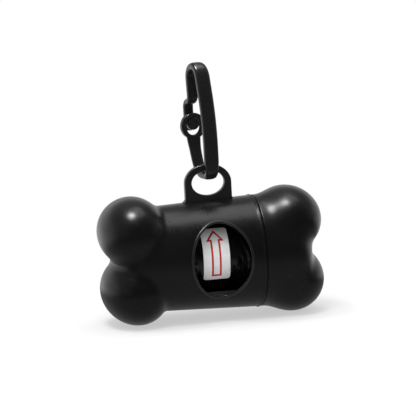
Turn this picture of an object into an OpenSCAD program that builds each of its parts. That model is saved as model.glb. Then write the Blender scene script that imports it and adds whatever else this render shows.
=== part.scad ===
// Bone-shaped dispenser for rolls of small bags, hanging by its tab from a one-piece plastic clip.
// X runs along the bone, +Z points up to the tab and the clip, and the window faces -Y.
// The origin is the centre of the tab's eye, which is also where the bone swings on the clip.

/* [Barrel] */
// Radius of the barrel at the seam with the cap
barrel_r = 20.5; // [19:0.1:23]
// Draft of the barrel towards its closed end, in degrees
barrel_draft = 2.1; // [0:0.1:2.6]
// Thickness of the moulded walls
wall = 1.8; // [1.4:0.1:2.2]
// Depth of the barrel's axis below the centre of the eye
axis_drop = 26.4; // [25.6:0.1:30]
// Distance from the middle of the tab to the seam
seam_x = 16.2; // [15:0.1:20]
// Distance from the middle of the tab to the closed end between the knobs
body_end = 36.8; // [36:0.1:38]

/* [Knobs of the body] */
// Distance from the middle of the tab to the knob centres
knob_x = 28.7; // [27:0.1:31]
// Height of the knob centres above and below the axis
knob_rise = 10.5; // [9.5:0.1:11.5]
// Length of a knob from its centre to the bone's end
knob_out = 12.7; // [12:0.1:14]
// Length of a knob from its centre towards the barrel
knob_in = 12; // [11.5:0.1:13]
// Half the height of a knob
knob_high = 12.8; // [12:0.1:14]
// Half the depth of a knob, front to back
knob_depth = 19.2; // [17:0.1:19.6]
// Squareness of a knob seen from above, 2 for an ellipse
knob_square = 2.2; // [2:0.1:2.6]
// Softness of the crease where a knob leaves the barrel
knob_blend = 1.4; // [0.6:0.1:3]

/* [Cap] */
// Distance from the middle of the tab to the knob centres of the cap
cap_knob_x = 28.7; // [28:0.1:31]
// Height of the cap's knob centres above and below the axis
cap_knob_rise = 10.6; // [9.6:0.1:12]
// Length of a knob of the cap from its centre to the bone's end
cap_knob_out = 12.4; // [12:0.1:14]
// Length of a knob of the cap from its centre towards the barrel
cap_knob_in = 12.4; // [11.5:0.1:13]
// Half the height of a knob of the cap
cap_knob_high = 12.4; // [12:0.1:14]
// Half the depth of a knob of the cap, front to back
cap_knob_depth = 17; // [16:0.1:18.4]
// Squareness of a knob of the cap seen from above, 2 for an ellipse
cap_knob_square = 2; // [2:0.1:2.6]
// Softness of the crease where a knob leaves the cap
cap_blend = 3.5; // [1:0.1:4]
// Distance from the middle of the tab to the cap's end between its knobs
cap_end = 35.4; // [35:0.1:38]
// Gap at the seam between the body and the cap
seam_gap = 0.2; // [0.1:0.05:0.4]
// Rounding of the two edges at the seam
seam_round = 0.4; // [0.2:0.05:0.6]
// Height of the bead round the body's mouth
bead_h = 0.25; // [0:0.05:0.4]
// Width of the bead round the body's mouth
bead_w = 1.3; // [0.8:0.1:2]

/* [Neck] */
// Length of the neck that the cap turns on
neck_len = 7; // [5:0.5:7]
// Thickness of the neck
neck_wall = 1.5; // [1.2:0.1:1.6]
// Clearance between the neck and the cap, on the radius
neck_gap = 0.1; // [0.05:0.01:0.1]
// Free depth past the neck's end inside the cap
neck_relief = 0.5; // [0.3:0.1:1]

/* [Window] */
// Width of the window
window_w = 21.6; // [16:0.2:22]
// Height of the window
window_h = 28; // [20:0.5:29]
// Width of the raised rim round the window
rim_w = 0.8; // [0.5:0.05:1.2]
// Height of the raised rim round the window
rim_h = 0.3; // [0.1:0.05:0.5]

/* [Tab] */
// Width of the tab
tab_w = 17.3; // [16.4:0.1:20]
// Height of the tab above the centre of its eye
tab_top = 6.9; // [6.8:0.1:9]
// Thickness of the tab
tab_t = 2.8; // [2:0.1:3]
// Width of the eye
eye_w = 12.2; // [11:0.1:12.6]
// Height of the eye
eye_h = 9.2; // [9.1:0.1:9.6]

/* [Roll of bags] */
// Radius of the roll of bags
roll_r = 12.8; // [10:0.1:13]
// Length of the roll of bags
roll_len = 58; // [50:1:58]
// Radius of the hole in the core
core_r = 5.5; // [5:0.1:6]
// Thickness of the card core
core_wall = 1; // [0.6:0.1:1.5]
// Clearance between the core and the two spindles, on the radius
spindle_gap = 0.08; // [0.05:0.01:0.1]
// Length of a spindle inside the core
spindle_grip = 5; // [3:0.5:8]
// Thickness of the spindles' tube
spindle_wall = 1.4; // [1:0.1:2]
// Thickness of the label
label_t = 0.2; // [0.1:0.05:0.3]
// Width of the label along the roll
label_w = 9.8; // [6:0.1:14]
// Angle of the label's top edge above the front
label_up = 54.5; // [40:0.5:70]
// Angle of the label's bottom edge below the front
label_down = 36; // [20:1:60]
// Offset of the label's middle from the middle of the tab
label_x = -0.8; // [-4:0.1:4]

/* [Clip] */
// Turn of the clip about its own upright axis, in degrees
clip_yaw = 12; // [0:1:16]
// Width of the bottom bar, which lies in the tab's eye
bar_w = 4.3; // [3.6:0.1:4.4]
// Width of the band along the spine and the tongue
band_w = 5.5; // [4.4:0.1:5.8]
// Thickness of the band
band_t = 2.8; // [2.2:0.1:2.8]
// Height of the bottom bar's middle above the centre of the eye
bar_z = 2.65; // [2.55:0.05:2.7]
// Distance of the spine in front of the tab's middle
spine_y = 4.5; // [3.8:0.1:5]
// Length of the straight lower spine
spine_low = 7.2; // [5:0.1:12]
// Length of the bowed middle of the spine
spine_bow_len = 21; // [16:0.5:26]
// Turn of the bowed middle of the spine, in degrees
spine_bow = 15; // [10:1:20]
// Length of the straight upper spine
spine_high = 5.6; // [4:0.1:8]
// Radius of the clip's top bend
top_r = 4.9; // [4.6:0.1:5.6]
// Width of the hook's nose
nose_w = 3.7; // [2.6:0.1:4]
// Thickness of the hook's nose
nose_t = 2.3; // [2:0.1:2.6]
// Radius of the peg on the nose
peg_r = 2.1; // [1.8:0.05:2.2]
// Length of the peg
peg_len = 3.5; // [3:0.1:3.8]

/* [Gate] */
// Height of the middle of the gate's ring above the centre of the eye
ring_z = 19.9; // [18.5:0.1:20.5]
// Radius of the gate's ring
ring_r = 4.85; // [4.5:0.05:5.1]
// Thickness of the gate's ring
ring_t = 2.2; // [1.8:0.1:2.4]
// Width of the ring's slot
slot_w = 5.4; // [5:0.1:5.6]
// Height of the ring's slot
slot_h = 6.6; // [6.4:0.1:7]
// Thickness of the springy tongue
tongue_t = 1.9; // [1.6:0.1:2]
// Gap between the ring and the nose behind it
ring_gap = 1.3; // [0.3:0.1:1.5]
// Gap between the peg and the top of the ring's slot
peg_gap = 0.3; // [0.2:0.05:0.5]
// Gap between the tongue's root and the hook
root_gap = 0.35; // [0.2:0.05:0.4]

/* [Hidden] */
$fn = 96;

black = [0.13, 0.13, 0.135];
film = [0.06, 0.06, 0.065];
card = [0.78, 0.72, 0.62];
paper = [0.93, 0.93, 0.92];

skin_sides = 48;            // sides of every ring of the bone's skin
end_rings = 13;             // rings over each rounded end
knob_rings = 6;             // rings over each shoulder of a knob
search_steps = 18;          // halvings when a ring's radius is searched
dome_start = 15.8;          // length of the rounded end of the body
cap_dome = 12.2;            // length of the rounded end of the cap
dome_power = 2.6;           // squareness of both rounded ends
eps = 0.01;

draft_rate = tan(barrel_draft);
neck_r = barrel_r - 1.5;
socket_r = neck_r + neck_gap;
spindle_r = core_r - spindle_gap;
roll_end = roll_len / 2;

// ---- the bone's skin: a drafted barrel with rounded ends, blended into four knobs ----

// Radius of the straight barrel at a place along it
function barrel_at(x) = barrel_r - draft_rate * max(0, seam_x - x);

// Level of the barrel, 0 on its skin and below 0 inside
function barrel_level(p) =
    let (r = barrel_at(p.x),
         left = max(0, (-body_end + dome_start - p.x) / dome_start),
         right = max(0, (p.x - cap_end + cap_dome) / cap_dome),
         q = pow(norm([p.y, p.z]) / r, dome_power) + pow(max(left, right), dome_power))
    (pow(q, 1 / dome_power) - 1) * r;

// Level of an egg-shaped knob: x from its centre outwards, z from its centre upwards
function knob_level(x, y, z, out, inward, high, depth, square) =
    let (flat = norm([x / (x > 0 ? out : inward), z / high]))
    (pow(pow(flat, square) + pow(abs(y) / depth, square), 1 / square) - 1) * high;

// Two levels joined with a soft crease
function blend(a, b, soft) =
    let (h = min(1, max(0, 0.5 + 0.5 * (b - a) / soft)))
    b * (1 - h) + a * h - soft * h * (1 - h);

// Level of the whole bone
function bone_level(p) =
    let (x = abs(p.x), z = abs(p.z))
    p.x < 0
        ? blend(barrel_level(p),
                knob_level(x - knob_x, p.y, z - knob_rise, knob_out, knob_in, knob_high, knob_depth, knob_square),
                knob_blend)
        : blend(barrel_level(p),
                knob_level(x - cap_knob_x, p.y, z - cap_knob_rise,
                           cap_knob_out, cap_knob_in, cap_knob_high, cap_knob_depth, cap_knob_square),
                cap_blend);

// Distance from a point on the axis to the skin, found by halving
function reach(from, dir, near, far, steps) =
    let (mid = (near + far) / 2)
    steps == 0 ? mid
        : bone_level(from + mid * dir) < 0
            ? reach(from, dir, mid, far, steps - 1)
            : reach(from, dir, near, mid, steps - 1);

// One ring of the skin: from a point on the axis, leaning this far towards the end
function ring_points(x, lean, side, swell) =
    [for (k = [0:skin_sides - 1])
        let (a = 360 * k / skin_sides,
             dir = [side * sin(lean), cos(lean) * sin(a), cos(lean) * cos(a)])
        [x, 0, 0] + (reach([x, 0, 0], dir, 0, 40, search_steps) + swell) * dir];

// Height of the bead round the mouth of the body at a distance from the seam
function bead_at(d) = d > bead_w ? 0 : bead_h * (0.5 - 0.5 * cos(360 * d / bead_w));

// A solid with the bone's skin, flat at the mouth and closed at its tip
module bone_solid(side, hub, mouth, stations) {
    rings = concat([ring_points(mouth, 0, side, -seam_round)],
                   [for (x = stations) ring_points(x, 0, side, side < 0 ? bead_at(mouth - x) : 0)],
                   [for (k = [0:end_rings]) ring_points(hub, 88 * k / end_rings, side, 0)]);
    n = len(rings);
    s = skin_sides;
    tip = [hub, 0, 0] + reach([hub, 0, 0], [side, 0, 0], 0, 40, search_steps) * [side, 0, 0];
    points = concat([[mouth, 0, 0]], [for (ring = rings) each ring], [tip]);
    sheet = concat(
        [for (j = [0:s - 1]) [0, 1 + j, 1 + (j + 1) % s]],
        [for (i = [0:n - 2]) for (j = [0:s - 1]) for (half = [0, 1])
            let (a = 1 + i * s + j, b = 1 + i * s + (j + 1) % s)
            half == 0 ? [a, a + s, b] : [b, a + s, b + s]],
        [for (j = [0:s - 1]) [1 + n * s, 1 + (n - 1) * s + (j + 1) % s, 1 + (n - 1) * s + j]]);
    polyhedron(points, side < 0 ? sheet : [for (f = sheet) [f[0], f[2], f[1]]]);
}

// ---- outlines ----

// Points round an ellipse
function oval(w, h, n) = [for (k = [0:n - 1]) [w / 2 * cos(360 * k / n), h / 2 * sin(360 * k / n)]];

// An upright plate seen from the front, with its thickness along Y
module upright(t) {
    translate([0, t / 2, 0]) rotate([90, 0, 0]) linear_extrude(t) children();
}

// A tube or pin along X, turned from its half outline
module along_x() {
    rotate([0, 90, 0]) rotate_extrude() children();
}

// ---- a band swept along a path of straights and bends in the clip's own plane ----

// The place after a bend of this length and turn
function ahead(at, heading, dist, turn) =
    abs(turn) < eps
        ? at + dist * [cos(heading), sin(heading)]
        : at + dist / turn * 180 / PI * [sin(heading + turn) - sin(heading), cos(heading) - cos(heading + turn)];

// Stations along a path of [length, turn, pieces, width, thickness] steps
function walk(steps, at, heading, w, t, i = 0) =
    i == len(steps) ? []
        : let (s = steps[i], n = s[2])
          concat([for (k = [1:n])
                     let (f = k / n, p = ahead(at, heading, s[0] * f, s[1] * f))
                     [p.x, p.y, heading + s[1] * f, w + (s[3] - w) * f, t + (s[4] - t) * f]],
                 walk(steps, ahead(at, heading, s[0], s[1]), heading + s[1], s[3], s[4], i + 1));

band_sides = 16;            // sides of the band's rounded section
function soft(c) = sign(c) * pow(abs(c), 0.45);

// The section of the band at a station
function band_ring(st, scale_by) =
    [for (k = [0:band_sides - 1])
        let (a = 360 * k / band_sides, w = st[3] / 2 * scale_by * soft(cos(a)), t = st[4] / 2 * scale_by * soft(sin(a)))
        [w, st[0] - t * sin(st[2]), st[1] + t * cos(st[2])]];

// A station moved back or on along its heading
function shift(st, d) = [st[0] + d * cos(st[2]), st[1] + d * sin(st[2]), st[2], st[3], st[4]];

module band(steps, at, heading, w, t) {
    start = [at.x, at.y, heading, w, t];
    stations = concat([start], walk(steps, at, heading, w, t));
    last = stations[len(stations) - 1];
    rings = concat([band_ring(start, 0.8)],
                   [band_ring(shift(start, 0.35), 1)],
                   [for (k = [1:len(stations) - 2]) band_ring(stations[k], 1)],
                   [band_ring(shift(last, -0.35), 1)],
                   [band_ring(last, 0.8)]);
    n = len(rings);
    s = band_sides;
    points = [for (ring = rings) each ring];
    faces = concat([[for (j = [s - 1:-1:0]) j]],
                   [for (i = [0:n - 2]) for (j = [0:s - 1]) for (half = [0, 1])
                       let (a = i * s + j, b = i * s + (j + 1) % s)
                       half == 0 ? [a, b, a + s] : [b, b + s, a + s]],
                   [[for (j = [0:s - 1]) (n - 1) * s + j]]);
    polyhedron(points, faces);
}

// ---- parts ----

// Raised rim that follows the window over the barrel
module window_rim() {
    far = window_w / 2 + 2;
    intersection() {
        translate([0, -barrel_r / 2 - 1, 0]) upright(barrel_r)
            polygon(oval(window_w + 2 * rim_w, window_h + 2 * rim_w, 60));
        translate([-far, 0, 0]) along_x()
            polygon([[barrel_at(0) - wall / 2, 0], [barrel_at(-far) + rim_h, 0],
                     [barrel_at(far) + rim_h, 2 * far], [barrel_at(0) - wall / 2, 2 * far]]);
    }
}

// Half outline of a hollow spindle, from its root to its grip in the core
module spindle_outline(root, length) {
    translate([spindle_r - spindle_wall, root]) square([spindle_wall, length]);
}

// Half outline of the rounded end of a hollow: its radius, where it starts and how long it is
function dome_outline(r, start, length, n = 8) =
    [for (k = [0:n]) let (w = k / n) [r * pow(1 - pow(w, dome_power), 1 / dome_power), start + length * w]];

// The hollow inside the barrel, with the spindle left standing at its closed end
module body_hollow() {
    start = body_end - dome_start;
    length = dome_start - wall;
    end_r = barrel_at(-start) - wall;
    mouth = seam_x + neck_len + 1;
    rotate([0, 0, 180]) along_x() difference() {
        polygon(concat([[0, -mouth], [neck_r - neck_wall, -mouth], [neck_r - neck_wall, 5 - seam_x],
                        [barrel_at(seam_x - 6) - wall, 6 - seam_x]],
                       dome_outline(end_r, start, length)));
        spindle_outline(roll_end - spindle_grip, body_end - roll_end + spindle_grip);
    }
    difference() {
        for (up = [-1, 1]) translate([-knob_x, 0, up * knob_rise]) sphere(min(knob_out, knob_in, knob_high) - wall);
        rotate([0, 0, 180]) along_x() square([spindle_r, body_end + 1]);
    }
}

// The hanging tab with its eye, drawn about the centre of the eye
module tab() {
    foot = barrel_at(0) - wall / 2;
    difference() {
        upright(tab_t) {
            polygon(oval(tab_w, 2 * tab_top, 64));
            translate([-tab_w / 2, foot - axis_drop]) square([tab_w, axis_drop - foot]);
        }
        upright(tab_t + 2) polygon(oval(eye_w, eye_h, 64));
    }
}

// The barrel with its two knobs, window, tab, neck and inner spindle, moulded as one
module body_shell() {
    hub = 9.3 - body_end;
    along = [seam_x - seam_round, seam_x - bead_w / 2, seam_x - bead_w, 10, 4, -2, -8, -13];
    shoulder = [for (k = [0:knob_rings - 1]) -15.5 + (hub + 15.5) * k / knob_rings];
    color(black) {
        tab();
        translate([0, 0, -axis_drop]) difference() {
            union() {
                bone_solid(-1, hub, seam_x, concat(along, shoulder));
                window_rim();
                translate([seam_x - 4, 0, 0]) along_x() square([neck_r, 4 + neck_len]);
            }
            body_hollow();
            translate([0, -barrel_r / 2 - 1, 0]) upright(barrel_r + 2) polygon(oval(window_w, window_h, 60));
        }
    }
}

// The hollow inside the cap: its socket for the neck, and its own spindle left standing
module cap_hollow(mouth) {
    start = cap_end - cap_dome;
    socket_end = seam_x + neck_len + neck_relief;
    along_x() difference() {
        polygon(concat([[0, mouth - 1], [socket_r, mouth - 1], [socket_r, socket_end],
                        [barrel_r - wall, socket_end]],
                       dome_outline(barrel_r - wall, max(start, socket_end + 0.2), cap_end - wall - max(start, socket_end + 0.2))));
        spindle_outline(roll_end - spindle_grip, cap_end - roll_end + spindle_grip);
    }
    difference() {
        for (up = [-1, 1]) translate([cap_knob_x, 0, up * cap_knob_rise])
            sphere(min(cap_knob_out, cap_knob_in, cap_knob_high) - wall);
        along_x() square([spindle_r, cap_end + 1]);
    }
}

// The twist cap with its two knobs and its own spindle
module end_cap() {
    hub = cap_end - 7.4;
    mouth = seam_x + seam_gap;
    shoulder = [for (k = [0:knob_rings]) mouth + 3 + (hub - mouth - 3) * k / (knob_rings + 1)];
    color(black) translate([0, 0, -axis_drop]) difference() {
        bone_solid(1, hub, mouth, concat([mouth + seam_round, mouth + 1.5], shoulder));
        cap_hollow(mouth);
    }
}

// The wound bags round their core
module bag_roll() {
    hole = core_r + core_wall + 0.05;
    color(film) translate([-roll_end, 0, -axis_drop]) along_x()
        polygon([[hole, 0], [roll_r - 0.8, 0], [roll_r, 0.8], [roll_r, roll_len - 0.8],
                 [roll_r - 0.8, roll_len], [hole, roll_len]]);
}

// The card tube in the middle of the roll
module roll_core() {
    color(card) translate([-roll_end, 0, -axis_drop]) along_x()
        translate([core_r, 0]) square([core_wall, roll_len]);
}

// The paper label over the end of the outermost bag
module roll_label() {
    color(paper) translate([label_x + label_w / 2, 0, -axis_drop]) rotate([0, -90, 0])
        rotate_extrude(angle = label_up + label_down, start = 270 - label_up)
            translate([roll_r + 0.02, 0]) square([label_t, label_w]);
}

// Turn of everything in the clip's own plane to its place on the tab
module in_clip() {
    rotate([0, 0, clip_yaw]) children();
}

root_at = [5.6, bar_z + 1.45];              // end of the bottom bar, where the tongue springs from
root_heading = 25;                          // slope of the tongue at its root
nose_y = 13.9;                              // middle of the hook's nose behind the tab
ring_y = nose_y - nose_t / 2 - ring_gap - ring_t / 2;
peg_z = ring_z + slot_h / 2 - peg_gap - peg_r;

// The hook: bottom bar, spine, top bend and stepped nose with its peg
module clip_hook() {
    bend_r = 2.6;
    rise = root_at.y - bar_z;
    ramp_r = 4.5;
    ramp = (rise - ramp_r * (1 - cos(root_heading))) / sin(root_heading);
    bar_start = root_at.x - ramp * cos(root_heading) - ramp_r * sin(root_heading);
    bar = bar_start + spine_y - bend_r;
    quarter = 90 * PI / 180;
    over = 180 - spine_bow;
    step_r = 2.4;
    leg_y = -spine_y + spine_bow_len / spine_bow * 180 / PI * (1 - cos(spine_bow))
            + spine_high * sin(spine_bow) + top_r * (1 + cos(spine_bow));
    top_z = bar_z + bend_r + spine_low + spine_bow_len / spine_bow * 180 / PI * sin(spine_bow)
            + spine_high * cos(spine_bow) - top_r * sin(spine_bow);
    out = nose_y - leg_y;
    turn = acos(1 - out / (2 * step_r));
    nose_len = 8.2;
    nose_end = peg_z - peg_r - 0.4;
    leg = top_z - (nose_end + nose_len) - 2 * step_r * sin(turn);
    widening = 2.5;
    leg_w = nose_w + 0.4;
    over_w = leg_w + 0.3;
    pad_r = peg_r + 0.5;
    pad_t = nose_t / 2 - 0.1;
    peg_tip = nose_t / 2 + peg_len;
    color(black) in_clip() {
        band([[ramp, 0, 2, bar_w, band_t],
              [ramp_r * root_heading * PI / 180, -root_heading, 4, bar_w, band_t],
              [bar, 0, 2, bar_w, band_t],
              [bend_r * quarter, -90, 9, (bar_w + band_w) / 2, band_t],
              [widening, 0, 2, band_w, band_t],
              [spine_low - widening, 0, 1, band_w, band_t],
              [spine_bow_len, -spine_bow, 5, band_w, band_t],
              [spine_high, 0, 2, band_w, band_t],
              [top_r * over * PI / 180, -over, 15, over_w, band_t],
              [leg, 0, 3, leg_w, band_t - 0.2],
              [step_r * turn * PI / 180, turn, 6, nose_w, nose_t],
              [step_r * turn * PI / 180, -turn, 6, nose_w, nose_t],
              [nose_len, 0, 3, nose_w, nose_t]],
             root_at, 180 + root_heading, bar_w, band_t);
        translate([0, nose_y, peg_z]) rotate([90, 0, 0]) rotate_extrude()
            polygon([[0, -pad_t], [pad_r, -pad_t], [pad_r, pad_t], [peg_r, pad_t], [peg_r, peg_tip - 0.6],
                     [peg_r - 0.6, peg_tip], [0, peg_tip]]);
    }
}

// The springy tongue and its ring, which closes over the peg
module clip_gate() {
    from = root_at + root_gap * [cos(root_heading), sin(root_heading)];
    tongue_top = ring_z - ring_r + 0.9;
    bow_r = (ring_y - from.x) / (1 - sin(root_heading));
    bow_turn = 90 - root_heading;
    straight = tongue_top - from.y - bow_r * cos(root_heading);
    color(black) in_clip() {
        difference() {
            union() {
                band([[bow_r * bow_turn * PI / 180, bow_turn, 12, band_w - 0.1, tongue_t],
                      [straight, 0, 2, band_w - 0.1, tongue_t]],
                     from, root_heading, bar_w - 0.1, tongue_t - 0.3);
                translate([0, ring_y + ring_t / 2, ring_z]) rotate([90, 0, 0]) rotate_extrude()
                    polygon([[0, 0], [ring_r - 0.4, 0], [ring_r, 0.4], [ring_r, ring_t - 0.4],
                             [ring_r - 0.4, ring_t], [0, ring_t]]);
            }
            translate([0, ring_y, ring_z]) rotate([90, 0, 0]) {
                for (side = [-1, 1])
                    translate([0, side * (slot_h - slot_w) / 2, 0])
                        cylinder(r = slot_w / 2, h = ring_t + 1, center = true);
                cube([slot_w, slot_h - slot_w, ring_t + 1], center = true);
            }
        }
    }
}

body_shell();
end_cap();
bag_roll();
roll_core();
roll_label();
clip_hook();
clip_gate();
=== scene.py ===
import math
import bmesh
import bpy
import numpy as np
from mathutils import Matrix, Vector


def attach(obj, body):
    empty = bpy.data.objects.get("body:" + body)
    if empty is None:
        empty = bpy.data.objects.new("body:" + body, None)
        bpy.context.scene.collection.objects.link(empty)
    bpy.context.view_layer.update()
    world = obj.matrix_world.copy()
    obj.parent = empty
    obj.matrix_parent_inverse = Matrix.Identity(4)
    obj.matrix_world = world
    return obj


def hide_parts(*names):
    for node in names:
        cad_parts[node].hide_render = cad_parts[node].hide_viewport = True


# Dog bag dispenser: a bone-shaped moulded box, its roll of bags and its clip.
# Everything is worked out in millimetres about the middle of the tab's eye, then made in metres.
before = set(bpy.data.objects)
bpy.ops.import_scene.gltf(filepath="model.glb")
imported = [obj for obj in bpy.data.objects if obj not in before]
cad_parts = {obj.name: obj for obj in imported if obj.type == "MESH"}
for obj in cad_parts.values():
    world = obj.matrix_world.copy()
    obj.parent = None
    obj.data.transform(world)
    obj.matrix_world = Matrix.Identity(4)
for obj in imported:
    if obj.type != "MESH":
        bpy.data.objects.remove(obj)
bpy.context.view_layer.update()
mm = 0.001


# nodes
def feed(socket, value):
    # a socket takes a plain value, or a link from another node's output
    if hasattr(value, "is_output"):
        socket.id_data.links.new(value, socket)
    else:
        socket.default_value = value


def addNode(tree, kind, inputs=None, **settings):
    node = tree.nodes.new(kind)
    for name, value in settings.items():
        setattr(node, name, value)
    for label, value in (inputs or {}).items():
        feed(node.inputs[label], value)
    return node


def treeOf(values):
    return next(value.id_data for value in values if hasattr(value, "is_output"))


def mathNode(operation, *values):
    return addNode(treeOf(values), "ShaderNodeMath", dict(enumerate(values)), operation=operation).outputs[0]


def plus(a, b):
    return mathNode("ADD", a, b)


def minus(a, b):
    return mathNode("SUBTRACT", a, b)


def times(a, b):
    return mathNode("MULTIPLY", a, b)


def vectorNode(operation, *values):
    return addNode(treeOf(values), "ShaderNodeVectorMath", dict(enumerate(values)), operation=operation).outputs


def split(vector):
    return addNode(vector.id_data, "ShaderNodeSeparateXYZ", {0: vector}).outputs


def combine(*values):
    return addNode(treeOf(values), "ShaderNodeCombineXYZ", dict(enumerate(values))).outputs[0]


def rampNode(value, low, high, outLow=0.0, outHigh=1.0):
    ends = {"Value": value, "From Min": low, "From Max": high, "To Min": outLow, "To Max": outHigh}
    return addNode(value.id_data, "ShaderNodeMapRange", ends, interpolation_type="SMOOTHSTEP").outputs["Result"]


def noiseNode(place, scale, detail=3.0, roughness=0.5):
    inputs = {"Vector": place, "Scale": scale, "Detail": detail, "Roughness": roughness}
    return addNode(place.id_data, "ShaderNodeTexNoise", inputs).outputs["Fac"]


def mixColour(factor, first, second):
    inputs = {"Factor": factor, "A": first, "B": second}
    return addNode(factor.id_data, "ShaderNodeMix", inputs, data_type="RGBA").outputs["Result"]


def mixShader(factor, first, second):
    return addNode(factor.id_data, "ShaderNodeMixShader", {"Fac": factor, 1: first, 2: second}).outputs["Shader"]


def objectPlace(tree):
    return addNode(tree, "ShaderNodeTexCoord").outputs["Object"]


def mapped(place, rotation, scale=(1, 1, 1)):
    inputs = {"Vector": place, "Rotation": rotation, "Scale": scale}
    return addNode(place.id_data, "ShaderNodeMapping", inputs).outputs[0]


# pieces
def placed(name, data):
    piece = bpy.data.objects.new(name, data)
    bpy.context.scene.collection.objects.link(piece)
    return piece


def meshPiece(name, points, faces):
    mesh = bpy.data.meshes.new(name)
    mesh.from_pydata([tuple(float(c) * mm for c in p) for p in points], [], faces)
    mesh.validate()
    return placed(name, mesh)


def facesOutward(piece):
    mergeDistance = 0.000002
    shape = bmesh.new()
    shape.from_mesh(piece.data)
    bmesh.ops.remove_doubles(shape, verts=shape.verts, dist=mergeDistance)
    bmesh.ops.recalc_face_normals(shape, faces=shape.faces)
    shape.to_mesh(piece.data)
    shape.free()


def closedPiece(name, points, faces):
    piece = meshPiece(name, points, faces)
    facesOutward(piece)
    return piece


def slab(name, front, back):
    # a closed solid between two outlines that match point by point
    count = len(front)
    faces = [tuple(range(count)), tuple(reversed(range(count, 2 * count)))]
    faces += [(j, j + count, (j + 1) % count + count, (j + 1) % count) for j in range(count)]
    return closedPiece(name, front + back, faces)


def bake(piece):
    # modifiers and place become plain mesh, with the object back at the origin
    bpy.context.view_layer.update()
    evaluated = piece.evaluated_get(bpy.context.evaluated_depsgraph_get())
    mesh = bpy.data.meshes.new_from_object(evaluated)
    mesh.transform(piece.matrix_world)
    name = mesh.name = piece.name
    made = placed(name + "Made", mesh)
    bpy.data.objects.remove(piece)
    made.name = name
    return made


def joined(name, pieces):
    # several pieces become one mesh
    shape = bmesh.new()
    for piece in pieces:
        copy = piece.data.copy()
        copy.transform(piece.matrix_world)
        shape.from_mesh(copy)
        bpy.data.meshes.remove(copy)
    mesh = bpy.data.meshes.new(name)
    shape.to_mesh(mesh)
    shape.free()
    for piece in pieces:
        bpy.data.objects.remove(piece)
    return placed(name, mesh)


def smooth(piece, angle=None):
    piece.data.shade_smooth()
    if angle is not None:
        piece.data.set_sharp_from_angle(angle=math.radians(angle))


def cutAway(piece, cutter):
    trim = piece.modifiers.new("cut", "BOOLEAN")
    trim.operation = "DIFFERENCE"
    trim.solver = "EXACT"
    trim.object = cutter
    made = bake(piece)
    bpy.data.objects.remove(cutter)
    return made


def finished(piece, body, replaced, material):
    piece.data.materials.clear()
    piece.data.materials.append(material)
    for face in piece.data.polygons:
        face.material_index = 0
    if replaced:
        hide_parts(*replaced)
    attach(piece, body)
    print("piece", piece.name, "on", body, len(piece.data.polygons), "faces")


# shader groups shared by the plastics
def groupTree(name, inputs, outputs):
    tree = bpy.data.node_groups.new(name, "ShaderNodeTree")
    for label, value in inputs.items():
        socket = tree.interface.new_socket(name=label, in_out="INPUT", socket_type="NodeSocketFloat")
        socket.default_value = value
    for label in outputs:
        tree.interface.new_socket(name=label, in_out="OUTPUT", socket_type="NodeSocketFloat")
    return tree, addNode(tree, "NodeGroupInput").outputs, addNode(tree, "NodeGroupOutput").inputs


skinLook = {"cloudScale": 90.0, "cloudEdges": (0.3, 0.7), "fineSize": 0.3, "grainShare": 0.7, "fineShare": 0.5}
wearLook = {"hairs": ((0.6, 900.0), (-0.9, 1300.0)), "across": 22.0, "hairEdges": (0.70, 0.76), "patchScale": 130.0,
            "patchEdges": (0.52, 0.66), "lyingEdges": (0.1, 1.0), "speckScale": 2600.0, "speckEdges": (0.63, 0.72),
            "driftScale": 60.0, "driftRange": (0.40, 0.75, 0.1, 1.0)}


def makeMouldSkin():
    # the fine spark-eroded grain of a plastic mould, and the cloudiness it gives to the gloss
    s = skinLook
    tree, inside, outside = groupTree("mouldSkin", {"Grain Size": 0.0004, "Rough Low": 0.3, "Rough High": 0.4},
                                      ("Height", "Roughness"))
    place = objectPlace(tree)
    perGrain = mathNode("DIVIDE", 1.0, inside["Grain Size"])
    grain = noiseNode(place, perGrain, 4.0, 0.6)
    cloud = noiseNode(place, s["cloudScale"])
    fine = noiseNode(place, times(perGrain, s["fineSize"]), 2.0)
    feed(outside["Height"], plus(times(grain, s["grainShare"]), times(fine, s["fineShare"])))
    feed(outside["Roughness"], rampNode(cloud, *s["cloudEdges"], inside["Rough Low"], inside["Rough High"]))
    return tree


def makeHandling():
    # hair-fine scratches and a little settled dust
    w = wearLook
    tree, inside, outside = groupTree("handlingMarks", {"Scratches": 0.5, "Dust": 0.5}, ("Scratch", "Dust"))
    place = objectPlace(tree)
    total = None
    for turn, stretch in w["hairs"]:
        drawn = mapped(place, (turn, 0.4 * turn, 2.1 * turn), (stretch, w["across"], w["across"]))
        line = rampNode(noiseNode(drawn, 1.0, 1.0), *w["hairEdges"])
        patch = rampNode(noiseNode(place, w["patchScale"] + stretch / 10, 2.0), *w["patchEdges"])
        mark = times(line, patch)
        total = mark if total is None else mathNode("MAXIMUM", total, mark)
    feed(outside["Scratch"], times(total, inside["Scratches"]))
    facing = split(addNode(tree, "ShaderNodeNewGeometry").outputs["Normal"])
    lying = rampNode(facing["Z"], *w["lyingEdges"])
    speck = rampNode(noiseNode(place, w["speckScale"], 2.0), *w["speckEdges"])
    drift = rampNode(noiseNode(place, w["driftScale"], 4.0), *w["driftRange"])
    feed(outside["Dust"], times(times(times(speck, drift), lying), inside["Dust"]))
    return tree


mouldSkin = makeMouldSkin()
handlingMarks = makeHandling()


def shaderBase(name):
    material = bpy.data.materials.new(name)
    material.use_nodes = True
    tree = material.node_tree
    tree.nodes.clear()
    shader = addNode(tree, "ShaderNodeBsdfPrincipled")
    addNode(tree, "ShaderNodeOutputMaterial", {"Surface": shader.outputs["BSDF"]})
    return material, tree, shader


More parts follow.
